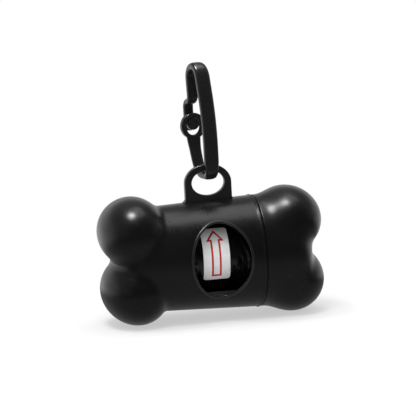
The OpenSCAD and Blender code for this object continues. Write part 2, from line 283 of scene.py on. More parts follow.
def coat(shader, colour, rough, height=None, depth=0.0, specular=0.5):
    # what every surface here has: colour, roughness, a bump and a strength of reflection
    feed(shader.inputs["Base Color"], colour)
    feed(shader.inputs["Roughness"], rough)
    if height is not None:
        bump = addNode(shader.id_data, "ShaderNodeBump", {"Height": height, "Distance": depth, "Strength": 1.0})
        feed(shader.inputs["Normal"], bump.outputs["Normal"])
    shader.inputs["Specular IOR Level"].default_value = specular


plasticLook = {"cloudScale": 45.0, "cloudEdges": (0.3, 0.7), "tones": (0.85, 1.15), "dust": (0.32, 0.31, 0.30, 1),
               "dustRough": 0.35, "scratchRough": 0.15, "scratchDepth": 0.6, "grainDepth": 0.000006}


def mouldedPlastic(name, colour, roughLow, roughHigh, grainSize, specular, scratches, dust):
    p = plasticLook
    material, tree, shader = shaderBase(name)
    grain = {"Grain Size": grainSize, "Rough Low": roughLow, "Rough High": roughHigh}
    skin = addNode(tree, "ShaderNodeGroup", grain, node_tree=mouldSkin).outputs
    marks = addNode(tree, "ShaderNodeGroup", {"Scratches": scratches, "Dust": dust}, node_tree=handlingMarks).outputs
    cloud = rampNode(noiseNode(objectPlace(tree), p["cloudScale"]), *p["cloudEdges"])
    base = mixColour(cloud, *((*[c * tone for c in colour], 1) for tone in p["tones"]))
    rough = plus(skin["Roughness"], times(marks["Dust"], p["dustRough"]))
    rough = plus(rough, times(marks["Scratch"], p["scratchRough"]))
    height = minus(skin["Height"], times(marks["Scratch"], p["scratchDepth"]))
    coat(shader, mixColour(marks["Dust"], base, p["dust"]), rough, height, p["grainDepth"], specular)
    return material


# the bone's skin
boneSizes = {
    "barrelRadius": 20.5, "draft": math.tan(math.radians(2.1)), "wall": 1.8, "axisDrop": 26.4, "seam": 16.2,
    "bodyEnd": 36.8, "bodyDome": 15.8, "bodyHub": 9.3, "capEnd": 36.2, "capDome": 12.2, "capHub": 7.4,
    "domePower": 2.6,
    # place along, rise, half length outwards and inwards, half height, half depth, squareness, crease
    "bodyKnob": (-28.7, 10.5, 12.7, 12.0, 12.8, 19.2, 2.2, 1.4),
    "capKnob": (28.5, 10.9, 12.5, 12.3, 12.2, 17.8, 2.1, 2.4),
    "neckLength": 7.0, "neckRadius": 19.0, "neckWall": 1.5, "neckEdge": 0.4, "neckPlay": 0.1, "seamGap": 0.2,
    "edgeRound": 0.4, "beadHeight": 0.25, "beadWidth": 1.3, "beadStep": 0.1,
    "spindleRadius": 5.42, "spindleWall": 1.4, "spindleEdge": 0.5, "spindleTip": 24.0, "bodyRoot": 34.6, "capRoot": 33.0,
    "sides": 240, "endRings": 56, "wallEndRings": 30, "lastLean": 89.6, "reach": 40.0, "halvings": 26,
    "barrelStep": 0.6, "knobStep": 0.28, "knobsFrom": -14.0,
}


def barrelAt(x):
    return boneSizes["barrelRadius"] - boneSizes["draft"] * np.maximum(0, boneSizes["seam"] - x)


def barrelLevel(p):
    b = boneSizes
    radius = barrelAt(p[:, 0])
    left = np.maximum(0, (-b["bodyEnd"] + b["bodyDome"] - p[:, 0]) / b["bodyDome"])
    right = np.maximum(0, (p[:, 0] - b["capEnd"] + b["capDome"]) / b["capDome"])
    power = b["domePower"]
    q = (np.hypot(p[:, 1], p[:, 2]) / radius) ** power + np.maximum(left, right) ** power
    return (q ** (1 / power) - 1) * radius


def knobLevel(p, knob):
    along, rise, outward, inward, height, depth, power = knob[:-1]
    x = (p[:, 0] - along) * np.sign(along)
    flat = np.hypot(x / np.where(x > 0, outward, inward), (np.abs(p[:, 2]) - rise) / height)
    return ((flat ** power + (np.abs(p[:, 1]) / depth) ** power) ** (1 / power) - 1) * height


def blendLevels(a, b, soft):
    h = np.clip(0.5 + 0.5 * (b - a) / soft, 0, 1)
    return b * (1 - h) + a * h - soft * h * (1 - h)


def boneLevel(p):
    # under 0 inside the bone; the knobs' last value is how softly they run into the barrel
    barrel = barrelLevel(p)
    left, right = (blendLevels(barrel, knobLevel(p, boneSizes[k]), boneSizes[k][-1]) for k in ("bodyKnob", "capKnob"))
    return np.where(p[:, 0] < 0, left, right)


def ringAngles():
    return 2 * np.pi * np.arange(boneSizes["sides"]) / boneSizes["sides"]


def skinRing(x, lean, side, depth=0.0, swell=0.0):
    # one ring of the skin, or of a wall this deep under it, found by halving
    angle = ringAngles()
    direction = np.stack([np.full_like(angle, side * math.sin(lean)), math.cos(lean) * np.sin(angle),
                          math.cos(lean) * np.cos(angle)], 1)
    near, far = np.zeros_like(angle), np.full_like(angle, boneSizes["reach"])
    for step in range(boneSizes["halvings"]):
        middle = (near + far) / 2
        inner = boneLevel(np.array([x, 0, 0]) + middle[:, None] * direction) < -depth
        near, far = np.where(inner, middle, near), np.where(inner, far, middle)
    return np.array([x, 0, 0]) + (near + swell)[:, None] * direction


def plainRing(x, radius):
    angle = ringAngles()
    return np.stack([np.full_like(angle, x), radius * np.sin(angle), radius * np.cos(angle)], 1)


def ringSolid(name, rings):
    # a closed solid through these rings about the barrel's axis, with a point in the middle of each end
    count = len(rings[0])
    points = [rings[0].mean(0)] + [p for ring in rings for p in ring] + [rings[-1].mean(0)]
    last = len(points) - 1
    faces = [(0, 1 + j, 1 + (j + 1) % count) for j in range(count)]
    for i in range(len(rings) - 1):
        for j in range(count):
            a, b = 1 + i * count + j, 1 + i * count + (j + 1) % count
            faces.append((a, a + count, b + count, b))
    top = 1 + (len(rings) - 1) * count
    faces += [(last, top + (j + 1) % count, top + j) for j in range(count)]
    points = np.array(points)
    points[:, 2] -= boneSizes["axisDrop"]
    return closedPiece(name, points, faces)


def endRings(hub, side, rings, depth=0.0):
    return [skinRing(hub, math.radians(boneSizes["lastLean"] * k / rings), side, depth) for k in range(rings + 1)]


def seamEdge(x, side):
    # the softly rounded edge that body and cap each have at the seam
    edge = boneSizes["edgeRound"]
    return [skinRing(x + side * edge * t * t, 0, side, 0, edge * (math.sqrt(max(0, 1 - (1 - t) ** 2)) - 1))
            for t in np.linspace(0, 1, 5)]


def bodyOuter():
    b = boneSizes
    seam, hub, width, edge = b["seam"], b["bodyHub"] - b["bodyEnd"], b["beadWidth"], b["neckEdge"]
    neckEnd = seam + b["neckLength"]
    rings = [plainRing(neckEnd, b["neckRadius"] - edge), plainRing(neckEnd - edge, b["neckRadius"]),
             plainRing(seam, b["neckRadius"])] + seamEdge(seam, -1)
    for d in np.arange(b["edgeRound"] + b["beadStep"], width + b["beadStep"] / 2, b["beadStep"]):   # bead
        rings.append(skinRing(seam - d, 0, -1, 0, b["beadHeight"] * (0.5 - 0.5 * math.cos(2 * math.pi * d / width))))
    plain = np.arange(seam - width - 0.5, b["knobsFrom"], -b["barrelStep"])
    knobs = np.arange(b["knobsFrom"] - 0.2, hub + 0.1, -b["knobStep"])
    rings += [skinRing(x, 0, -1) for x in np.concatenate([plain, knobs])]
    return ringSolid("barrelShell", rings + endRings(hub, -1, b["endRings"]))


def bodyInner():
    b = boneSizes
    seam, hub, bore = b["seam"], b["bodyHub"] - b["bodyEnd"], b["neckRadius"] - b["neckWall"]
    rings = [plainRing(seam + b["neckLength"] + 1, bore), plainRing(seam - 5, bore)]
    rings += [skinRing(x, 0, -1, b["wall"]) for x in np.arange(seam - 6, hub + 0.2, -1.0)]
    return ringSolid("bodyHollow", rings + endRings(hub, -1, b["wallEndRings"], b["wall"]))


def spindle(name, root, tip):
    # hollow pin along the axis that carries one end of the roll's core
    b = boneSizes
    outer, inner, edge = b["spindleRadius"], b["spindleRadius"] - b["spindleWall"], b["spindleEdge"]
    stations = ((root, outer), (tip - math.copysign(edge, tip - root), outer), (tip, outer - edge), (tip, inner),
                (root, inner))
    rings = [plainRing(x, radius)[::5] for x, radius in stations]
    count, turns = len(rings[0]), len(rings)
    points = np.concatenate(rings)
    points[:, 2] -= b["axisDrop"]
    faces = [(i * count + j, (i + 1) % turns * count + j, (i + 1) % turns * count + (j + 1) % count,
              i * count + (j + 1) % count) for i in range(turns) for j in range(count)]
    return closedPiece(name, points, faces)


windowSizes = {"width": 21.6, "height": 26.9, "cutSteps": 180, "cutFrom": -24.0, "cutTo": -2.0,
               "lipRadius": 0.52, "lipSink": 0.16, "lipSteps": 220, "lipSides": 20,
               "ledgeHalf": 5.9, "ledgeTop": -12.0, "ledgeFront": -13.3, "ledgeSlope": 0.9, "ledgeThick": 0.6,
               "ledgeSink": 0.6, "ledgeSteps": 41}


def windowCutter():
    w = windowSizes
    outline = [(w["width"] / 2 * math.cos(a), w["height"] / 2 * math.sin(a) - boneSizes["axisDrop"])
               for a in np.linspace(0, 2 * math.pi, w["cutSteps"], endpoint=False)]
    return slab("windowCutter", *([(x, y, z) for x, z in outline] for y in (w["cutFrom"], w["cutTo"])))


blackShell = mouldedPlastic("satinBlackShell", (0.0056, 0.0056, 0.0060), roughLow=0.26, roughHigh=0.32,
                            grainSize=0.00030, specular=0.26, scratches=0.4, dust=0.15)
# the shell's own plastic made lighter and shinier: painted light for the window lip, the ledge and the tab, which look
# lit brighter than the shell
paintedLightShell = mouldedPlastic("satinBlackPaintedLight", (0.0130, 0.0130, 0.0134), roughLow=0.30, roughHigh=0.38,
                          grainSize=0.00030, specular=0.50, scratches=0.3, dust=0.10)

shell = cutAway(cutAway(bodyOuter(), bodyInner()), windowCutter())
shell = joined("barrelShell", [shell, spindle("bodySpindle", -boneSizes["bodyRoot"], -boneSizes["spindleTip"])])
smooth(shell, 35)
finished(shell, "bone", ["body_shell"], blackShell)


# shapes grown by Geometry Nodes
def geometryTree(name, values):
    tree = bpy.data.node_groups.new(name, "GeometryNodeTree")
    tree.interface.new_socket(name="Geometry", in_out="INPUT", socket_type="NodeSocketGeometry")
    kinds = {int: "NodeSocketInt", float: "NodeSocketFloat"}
    for label, value in values.items():
        socket = tree.interface.new_socket(name=label, in_out="INPUT",
                                           socket_type=kinds.get(type(value), "NodeSocketMaterial"))
        if type(value) in kinds:
            socket.default_value = value
    tree.interface.new_socket(name="Geometry", in_out="OUTPUT", socket_type="NodeSocketGeometry")
    return tree, addNode(tree, "NodeGroupInput").outputs, addNode(tree, "NodeGroupOutput").inputs


def swept(curve, profile, caps=False):
    inputs = {"Curve": curve, "Profile Curve": profile, "Fill Caps": caps}
    return addNode(curve.id_data, "GeometryNodeCurveToMesh", inputs).outputs["Mesh"]


def moved(geometry, position):
    inputs = {"Geometry": geometry, "Position": position}
    return addNode(geometry.id_data, "GeometryNodeSetPosition", inputs).outputs["Geometry"]


def circle(tree, resolution, radius):
    inputs = {"Resolution": resolution, "Radius": radius}
    return addNode(tree, "GeometryNodeCurvePrimitiveCircle", inputs).outputs["Curve"]


def position(tree):
    return addNode(tree, "GeometryNodeInputPosition").outputs[0]


def endTree(geometry, material, outside):
    tree = geometry.id_data
    real = addNode(tree, "GeometryNodeRealizeInstances", {"Geometry": geometry})
    inputs = {"Geometry": real.outputs["Geometry"], "Material": material}
    feed(outside["Geometry"], addNode(tree, "GeometryNodeSetMaterial", inputs).outputs["Geometry"])


def grown(name, makeTree, values, mesh=None):
    # runs a node tree on a host piece and keeps the result as a plain mesh
    host = placed(name, mesh) if mesh else meshPiece(name, [(0, 0, 0)], [])
    tree = makeTree(values)
    modifier = host.modifiers.new("grow", "NODES")
    modifier.node_group = tree
    sockets = {item.name: item.identifier for item in tree.interface.items_tree if item.in_out == "INPUT"}
    for label, value in values.items():
        modifier[sockets[label]] = value
    made = bake(host)
    facesOutward(made)
    return made


def lipTree(values):
    # the rolled lip: a round section along the window's oval, laid on the drafted barrel
    tree, value, outside = geometryTree("windowLip", values)
    at = split(position(tree))
    x, z = (times(at[axis], times(plus(value[size], value["Lip Radius"]), 0.5))
            for axis, size in (("X", "Width"), ("Y", "Height")))
    radius = minus(value["Barrel Radius"], times(value["Draft"], minus(value["Seam"], x)))
    radius = minus(radius, value["Sink"])
    depth = mathNode("SQRT", minus(times(radius, radius), times(z, z)))
    onBarrel = combine(x, times(depth, -1.0), minus(z, value["Axis Drop"]))
    path = moved(circle(tree, value["Steps"], 1.0), onBarrel)
    profile = circle(tree, windowSizes["lipSides"], value["Lip Radius"])
    endTree(swept(path, profile), value["Material"], outside)
    return tree


# the lip takes the lighter copy of the shell plastic: painted light
lip = grown("windowLip", lipTree, {
    "Width": windowSizes["width"] * mm, "Height": windowSizes["height"] * mm, "Seam": boneSizes["seam"] * mm,
    "Barrel Radius": boneSizes["barrelRadius"] * mm, "Draft": boneSizes["draft"],
    "Axis Drop": boneSizes["axisDrop"] * mm, "Lip Radius": windowSizes["lipRadius"] * mm,
    "Sink": windowSizes["lipSink"] * mm, "Steps": windowSizes["lipSteps"], "Material": paintedLightShell})
smooth(lip)
finished(lip, "bone", [], paintedLightShell)


def lowerLedge():
    # the sloping inner edge that a bag is drawn over, under the roll, in the lighter plastic: a painted lit band where
    # the inner wall catches light below the roll
    w = windowSizes
    half, bottom, thick = w["ledgeHalf"], -w["height"] / 2, w["ledgeThick"]
    outline = [(x, bottom * math.sqrt(1 - (2 * x / w["width"]) ** 2) - w["ledgeSink"])
               for x in np.linspace(-half, half, w["ledgeSteps"])] + [(half, w["ledgeTop"]), (-half, w["ledgeTop"])]
    front = [(x, w["ledgeFront"] + (z - bottom) * w["ledgeSlope"], z - boneSizes["axisDrop"]) for x, z in outline]
    return slab("windowLedge", front, [(x, y + thick, z - thick) for x, y, z in front])


finished(lowerLedge(), "bone", [], paintedLightShell)


# the hanging tab
tabSizes = {"width": 17.3, "top": 6.9, "thick": 2.8, "eyeWidth": 12.2, "eyeHeight": 9.2, "edge": 0.45, "flare": 1.1,
            "sink": 0.9, "flareEnd": 80}


def flatOutline(name, loops, thick, edge, centre=(0, 0, 0)):
    # an upright plate with softly rounded edges, from closed outlines in x and z
    curve = bpy.data.curves.new(name, "CURVE")
    curve.dimensions = "2D"
    curve.fill_mode = "BOTH"
    curve.extrude = (thick / 2 - edge) * mm
    curve.bevel_depth = edge * mm
    curve.bevel_resolution = 4
    curve.offset = -edge * mm
    for loop in loops:
        spline = curve.splines.new("POLY")
        spline.points.add(len(loop) - 1)
        for point, (x, z) in zip(spline.points, loop):
            point.co = (x * mm, z * mm, 0, 1)
        spline.use_cyclic_u = True
    piece = placed(name, curve)
    piece.matrix_world = Matrix.Translation(Vector(centre) * mm) @ Matrix.Rotation(math.radians(90), 4, "X")
    made = bake(piece)
    facesOutward(made)
    return made


def ovalLoop(width, height, count, middle=(0, 0), start=0.0, end=360.0):
    closed = abs(end - start - 360) < 1e-6
    angles = np.radians(np.linspace(start, end, count, endpoint=not closed))
    return [(middle[0] + width / 2 * math.cos(a), middle[1] + height / 2 * math.sin(a)) for a in angles]


def makeTab():
    t = tabSizes
    foot = float(barrelAt(0)) - t["sink"] - boneSizes["axisDrop"]
    base = float(barrelAt(0)) - boneSizes["axisDrop"]
    half, flare = t["width"] / 2, t["flare"]
    outer = ovalLoop(t["width"], 2 * t["top"], 96, (0, 0), 0, 180)
    for side in (-1, 1):   # the sides flare a little where they meet the barrel
        curve = [(side * (half + flare * (1 - math.cos(a))), base + flare * (1 - math.sin(a)))
                 for a in np.radians(np.linspace(0, t["flareEnd"], 7))]
        curve.append((side * (half + flare), foot))
        outer = outer + (curve if side < 0 else list(reversed(curve)))
    return flatOutline("hangingTab", [outer, ovalLoop(t["eyeWidth"], t["eyeHeight"], 120)], t["thick"], t["edge"])


tab = makeTab()
smooth(tab, 40)
# the tab takes the lighter copy of the shell plastic: painted light
finished(tab, "bone", [], paintedLightShell)


# the twist cap
def capOuter():
    b = boneSizes
    mouth, hub = b["seam"] + b["seamGap"], b["capEnd"] - b["capHub"]
    rings = seamEdge(mouth, 1) + [skinRing(x, 0, 1) for x in np.arange(mouth + 0.7, hub - 0.1, b["knobStep"])]
    return ringSolid("capShell", rings + endRings(hub, 1, b["endRings"]))


def capInner():
    b = boneSizes
    mouth, hub, bore = b["seam"] + b["seamGap"], b["capEnd"] - b["capHub"], b["neckRadius"] + b["neckPlay"]
    socketEnd = b["seam"] + b["neckLength"] + 0.5
    rings = [plainRing(mouth - 1, bore), plainRing(socketEnd, bore)]
    rings += [skinRing(x, 0, 1, b["wall"]) for x in np.arange(socketEnd + 0.2, hub - 0.2, 0.8)]
    return ringSolid("capHollow", rings + endRings(hub, 1, b["wallEndRings"], b["wall"]))


cap = cutAway(capOuter(), capInner())
cap = joined("capShell", [cap, spindle("capSpindle", boneSizes["capRoot"], boneSizes["spindleTip"])])
smooth(cap, 35)
finished(cap, "cap", ["end_cap"], blackShell)


# the roll of bags
rollSizes = {"radius": 12.8, "half": 29.0, "hole": 6.55, "fold": 0.55, "crinkle": 0.10, "seed": 3.7, "around": 420,
             "endRound": 0.0006, "sectionSteps": 210,
             # folds: scale along and round the roll, slant, detail
             "bigFolds": (430.0, 110.0, 0.28, 1.5), "smallFolds": (1500.0, 420.0, -0.2, 2.0),
             "ridgeSharp": 7.0, "ridgeLevel": 0.85, "crinkleLevel": 0.62, "labelClear": 0.0016,
             "skinEdges": (0.0052, 0.0061), "labelMiddle": -0.8, "labelWidth": 9.8, "labelUp": 54.5,
             "labelDown": 36.0, "labelSeat": 0.02, "labelThick": 0.16, "labelCorner": 1.1, "labelAcross": 25,
             "labelAlong": 60}
filmLook = {"stretch": (1.0, 0.25, 0.25), "slant": (0.0, 0.12, 0.0), "creaseScale": 900.0, "fineScale": 3200.0,
            "fineShare": 0.3, "bump": 0.00026, "toneScale": 240.0, "dark": (0.002, 0.002, 0.0022, 1),
            "light": (0.005, 0.005, 0.006, 1), "rough": (0.12, 0.22), "specular": 0.6}


def blackFilm():
    f = filmLook
    material, tree, shader = shaderBase("glossBlackFilm")
    place = objectPlace(tree)
    drawn = mapped(place, f["slant"], f["stretch"])
    crease = noiseNode(drawn, f["creaseScale"], 4.0, 0.65)
    height = plus(crease, times(noiseNode(drawn, f["fineScale"], 2.0), f["fineShare"]))
    tone = rampNode(noiseNode(place, f["toneScale"]), 0.3, 0.7)
    coat(shader, mixColour(tone, f["dark"], f["light"]), rampNode(crease, 0.35, 0.7, *f["rough"]), height, f["bump"],
         f["specular"])
    return material


def rollTree(values):
    # wound film: a closed section turned about the barrel's axis, with folds that lie round the roll
    r = rollSizes
    tree, value, outside = geometryTree("woundFilm", values)
    middle = times(plus(value["Radius"], value["Hole"]), 0.5)
    size = {"Width": minus(value["Radius"], value["Hole"]), "Height": value["Length"]}
    section = addNode(tree, "GeometryNodeCurvePrimitiveQuadrilateral", size).outputs["Curve"]
    section = addNode(tree, "GeometryNodeFilletCurve", {"Curve": section, "Radius": r["endRound"]}).outputs["Curve"]
    section = addNode(tree, "GeometryNodeResampleCurve", {"Curve": section, "Count": r["sectionSteps"]},
                      mode="COUNT").outputs["Curve"]
    turn = addNode(tree, "GeometryNodeTransform", {
        "Geometry": swept(circle(tree, value["Around"], middle), section), "Rotation": (0, math.radians(90), 0)})
    at = split(position(tree))
    radius = mathNode("SQRT", plus(times(at["Y"], at["Y"]), times(at["Z"], at["Z"])))

    def folds(along, round, slant, detail):
        slanted = plus(at["X"], times(at["Z"], slant))
        place = combine(times(slanted, along), times(at["Y"], round), times(at["Z"], round))
        inputs = {"Vector": place, "W": value["Seed"], "Scale": 1.0, "Detail": detail}
        return addNode(tree, "ShaderNodeTexNoise", inputs, noise_dimensions="4D").outputs["Fac"]

    ridge = mathNode("ABSOLUTE", minus(folds(*r["bigFolds"]), 0.5))
    ridge = minus(1.0, mathNode("MINIMUM", times(ridge, r["ridgeSharp"]), 1.0))
    away = mathNode("ABSOLUTE", minus(at["X"], value["Label Middle"]))
    clear = rampNode(minus(away, times(value["Label Width"], 0.5)), 0.0, r["labelClear"])   # flat under the label
    skinOnly = rampNode(minus(radius, value["Hole"]), *r["skinEdges"])
    crinkle = times(minus(folds(*r["smallFolds"]), r["crinkleLevel"]), value["Crinkle"])
    sink = times(minus(ridge, r["ridgeLevel"]), value["Fold Depth"])
    push = times(plus(times(sink, clear), crinkle), skinOnly)
    scale = mathNode("DIVIDE", plus(radius, push), radius)
    folded = moved(turn.outputs["Geometry"], combine(at["X"], times(at["Y"], scale), times(at["Z"], scale)))
    lower = addNode(tree, "GeometryNodeTransform", {
        "Geometry": folded, "Translation": combine(0.0, 0.0, times(value["Axis Drop"], -1.0))})
    endTree(lower.outputs["Geometry"], value["Material"], outside)
    return tree


film = blackFilm()
roll = grown("filmRoll", rollTree, {
    "Radius": rollSizes["radius"] * mm, "Hole": rollSizes["hole"] * mm, "Length": 2 * rollSizes["half"] * mm,
    "Axis Drop": boneSizes["axisDrop"] * mm, "Fold Depth": rollSizes["fold"] * mm,
    "Crinkle": rollSizes["crinkle"] * mm, "Seed": rollSizes["seed"], "Around": rollSizes["around"],
    "Label Middle": rollSizes["labelMiddle"] * mm, "Label Width": rollSizes["labelWidth"] * mm, "Material": film})
smooth(roll, 60)
finished(roll, "roll", ["bag_roll"], film)


def onRoll(x, angle, radius):
    # a point on the roll: the angle is upwards from the front
    return (x, -radius * math.cos(angle), radius * math.sin(angle) - boneSizes["axisDrop"])


def wrappedSheet(name, rows, radius, thick):
    # a thin closed sheet on the roll, from rows of (angle, low x, high x)
    across = rollSizes["labelAcross"]
    grid = [(low + (high - low) * k / (across - 1), angle) for angle, low, high in rows for k in range(across)]
    points = [onRoll(x, a, level) for level in (radius + thick, radius) for x, a in grid]
    lines, half = len(rows), len(grid)
    faces = []
    for i in range(lines - 1):
        for k in range(across - 1):
            a = i * across + k
            faces.append((a, a + 1, a + across + 1, a + across))
            faces.append((half + a, half + a + across, half + a + across + 1, half + a + 1))
    rim = [k for k in range(across)] + [i * across + across - 1 for i in range(1, lines)]
    rim += [(lines - 1) * across + k for k in range(across - 2, -1, -1)] + [i * across for i in range(lines - 2, 0, -1)]
    for n, a in enumerate(rim):
        b = rim[(n + 1) % len(rim)]
        faces.append((a, a + half, b + half, b))
    return closedPiece(name, points, faces)


def labelRows():
    # rows up the label, with its corners rounded off
    r = rollSizes
    top, bottom = math.radians(r["labelUp"]), -math.radians(r["labelDown"])
    radius, corner, half = r["radius"] + r["labelSeat"], r["labelCorner"], r["labelWidth"] / 2
    span = (top - bottom) * radius
    near = [corner * (1 - math.cos(a)) for a in np.radians(np.linspace(0, 90, 9))]
    between = list(np.linspace(corner, span - corner, r["labelAlong"]))[1:-1]
    rows = []
    for s in near + between + [span - d for d in reversed(near)]:
        d = min(s, span - s)
        inset = corner - math.sqrt(max(0, corner ** 2 - (corner - d) ** 2)) if d < corner else 0
        rows.append((bottom + s / radius, r["labelMiddle"] - half + inset, r["labelMiddle"] + half - inset))
    return rows


paperLook = {"fibreScale": 2400.0, "mottleScale": 420.0, "dark": (0.82, 0.82, 0.815, 1), "light": (0.87, 0.87, 0.87, 1),
             "rough": (0.50, 0.66), "bump": 0.00001, "specular": 0.2}


def whitePaper():
    p = paperLook
    material, tree, shader = shaderBase("labelPaper")
    place = objectPlace(tree)
    fibre = noiseNode(place, p["fibreScale"], 4.0, 0.65)
    mottle = rampNode(noiseNode(place, p["mottleScale"]), 0.3, 0.7)
    coat(shader, mixColour(mottle, p["dark"], p["light"]), rampNode(fibre, 0.3, 0.7, *p["rough"]), fibre, p["bump"],
         p["specular"])
    return material


label = wrappedSheet("labelStrip", labelRows(), rollSizes["radius"] + rollSizes["labelSeat"], rollSizes["labelThick"])
smooth(label, 40)
finished(label, "roll", ["roll_label"], whitePaper())


# the plain printed arrow on the label
arrowSizes = {"middle": -0.9, "tipAt": 47.2, "shoulderAt": 31.0, "footAt": -27.5, "headHalf": 2.62, "shaftHalf": 1.45,
              "line": 0.70, "ink": 0.02, "step": 0.4}
inkLook = {"toneScale": 3000.0, "dark": (0.50, 0.008, 0.012, 1), "light": (0.64, 0.018, 0.022, 1),
           "roughScale": 1500.0, "rough": (0.40, 0.52), "specular": 0.4}


def redInk():
    k = inkLook
    material, tree, shader = shaderBase("redInk")
    place = objectPlace(tree)
    tone = rampNode(noiseNode(place, k["toneScale"]), 0.35, 0.7)
    rough = rampNode(noiseNode(place, k["roughScale"]), 0.3, 0.7, *k["rough"])
    coat(shader, mixColour(tone, k["dark"], k["light"]), rough, specular=k["specular"])
    return material


def arrowOutline():
    a = arrowSizes
    radius = rollSizes["radius"] + rollSizes["labelSeat"] + rollSizes["labelThick"]
    tip, shoulder, foot = (math.radians(a[k]) * radius for k in ("tipAt", "shoulderAt", "footAt"))
    corners = [(0, tip), (a["headHalf"], shoulder), (a["shaftHalf"], shoulder), (a["shaftHalf"], foot),
               (-a["shaftHalf"], foot), (-a["shaftHalf"], shoulder), (-a["headHalf"], shoulder)]
    corners = [Vector((x + a["middle"], s)) for x, s in corners]
    count = len(corners)

    def offset(distance):
        made = []
        for i in range(count):
            before, here, after = corners[i - 1], corners[i], corners[(i + 1) % count]
            e, f = (here - before).normalized(), (after - here).normalized()
            n, m = Vector((e.y, -e.x)), Vector((f.y, -f.x))
            made.append(here + (n + m) * distance / (1 + n.dot(m)))
        return made

    outer, inner = offset(a["line"] / 2), offset(-a["line"] / 2)
    pairs = []
    for i in range(count):
        j = (i + 1) % count
        steps = max(1, int((corners[j] - corners[i]).length / a["step"]))
        pairs += [(outer[i].lerp(outer[j], k / steps), inner[i].lerp(inner[j], k / steps)) for k in range(steps)]
    points, faces = [], []
    for u, v in pairs:
        for side, height in ((u, a["ink"]), (v, a["ink"]), (v, 0.0), (u, 0.0)):
            points.append(onRoll(side.x, side.y / radius, radius + height))
    for i in range(len(pairs)):
        j = (i + 1) % len(pairs)
        faces += [(4 * i + k, 4 * j + k, 4 * j + (k + 1) % 4, 4 * i + (k + 1) % 4) for k in range(4)]
    return closedPiece("printedArrow", points, faces)


finished(arrowOutline(), "roll", [], redInk())

cardLook = {"turn": (0, 0.5, 0.5), "bandScale": 45.0, "fibreScale": 1800.0, "dark": (0.36, 0.27, 0.18, 1),
            "light": (0.48, 0.37, 0.26, 1), "rough": (0.75, 0.9), "bump": 0.00003}


def corePaper():
    c = cardLook
    material, tree, shader = shaderBase("coreCard")
    place = objectPlace(tree)
    inputs = {"Vector": mapped(place, c["turn"]), "Scale": c["bandScale"]}
    wave = addNode(tree, "ShaderNodeTexWave", inputs, wave_type="BANDS")
    fibre = noiseNode(place, c["fibreScale"], 4.0, 0.6)
    coat(shader, mixColour(wave.outputs["Fac"], c["dark"], c["light"]), rampNode(fibre, 0.3, 0.7, *c["rough"]), fibre,
         c["bump"])
    return material


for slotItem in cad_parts["roll_core"].material_slots:   # the core keeps its CAD shape
    slotItem.material = corePaper()
print("roll done")


# the clip
clipSizes = {
    "yaw": 12.0, "width": 5.5, "barWidth": 4.3, "thick": 2.8, "barZ": 2.65, "spineY": 4.5, "spineLow": 7.2,
    "spineWiden": 2.5, "bowLength": 21.0, "bow": 15.0, "spineHigh": 5.6, "topRadius": 4.9, "topExtra": 0.7,
    "legExtra": 0.4, "legThinner": 0.2, "noseWidth": 3.7, "noseThick": 2.3, "noseY": 13.9, "noseLength": 8.2,
    "noseBelowPeg": 0.4, "bendRadius": 2.6, "rampRadius": 4.5, "stepRadius": 2.4, "rootHeading": 25.0, "rootY": 5.6,
    "rootRise": 1.45, "corner": 0.62, "profileSteps": 48, "voxel": 0.00013, "rounds": 3,
    "pegRadius": 2.35, "pegLength": 3.5, "padSink": 0.1, "padLap": 0.05,
    # the peg's rings: how far from the pad's face or the tip, and how far out from the peg's radius
    "padRings": ((0.0, 0.4), (0.15, 0.5)), "tipRings": ((0.5, 0.0), (0.15, -0.2), (0.0, -0.55)),
    # the last third of a millimetre at the band's ends: how far in, and what share of the section
    "endRings": ((0.0, 0.80), (0.08, 0.92), (0.2, 0.98)),
}
gateSizes = {
    "ringZ": 19.9, "ringRadius": 4.85, "ringThick": 2.2, "ringEdge": 0.45, "ringLap": 0.9, "slotWidth": 5.4,
    "slotHeight": 6.6, "tongueThick": 1.9, "tongueWidth": 5.4, "lowWidth": 4.3, "lowWiden": 0.2, "lowShare": 0.6,
    "rootWidth": 4.2, "rootThinner": 0.3, "ringGap": 1.3, "pegGap": 0.3, "rootGap": -0.25, "rootRadius": 3.0,
    "lean": 60.0, "slotPegRadius": 2.1,
}
ringY = clipSizes["noseY"] - clipSizes["noseThick"] / 2 - gateSizes["ringGap"] - gateSizes["ringThick"] / 2
pegZ = gateSizes["ringZ"] + gateSizes["slotHeight"] / 2 - gateSizes["pegGap"] - gateSizes["slotPegRadius"]
glossClip = mouldedPlastic("glossBlackClip", (0.0125, 0.0125, 0.0130), roughLow=0.20, roughHigh=0.28,
                           grainSize=0.00035, specular=0.5, scratches=0.6, dust=0.25)


def turtlePath(steps, start, heading, width, thick):
    # points along straights and bends of [length, turn, pieces, width, thickness] in the clip's own plane
    path = [(start[0], start[1], heading, width, thick)]
    for length, turn, pieces, nextWidth, nextThick in steps:
        y, z, head, w, t = path[-1]
        began = math.radians(head)
        for k in range(1, pieces + 1):
            f = k / pieces
            if abs(turn) < 1e-6:
                py, pz = y + length * f * math.cos(began), z + length * f * math.sin(began)
            else:
                radius = length / math.radians(turn)
                now = math.radians(head + turn * f)
                py = y + radius * (math.sin(now) - math.sin(began))
                pz = z + radius * (math.cos(began) - math.cos(now))
            path.append((py, pz, head + turn * f, w + (nextWidth - w) * f, t + (nextThick - t) * f))
    return path


def roundedEnds(path):
    def shifted(at, d, scale):
        head = math.radians(at[2])
        return (at[0] + d * math.cos(head), at[1] + d * math.sin(head), at[2], at[3] * scale, at[4] * scale)

    rings = clipSizes["endRings"]
    front = [shifted(path[0], d, s) for d, s in rings]
    return front + path[1:-1] + [shifted(path[-1], -d, s) for d, s in reversed(rings)]


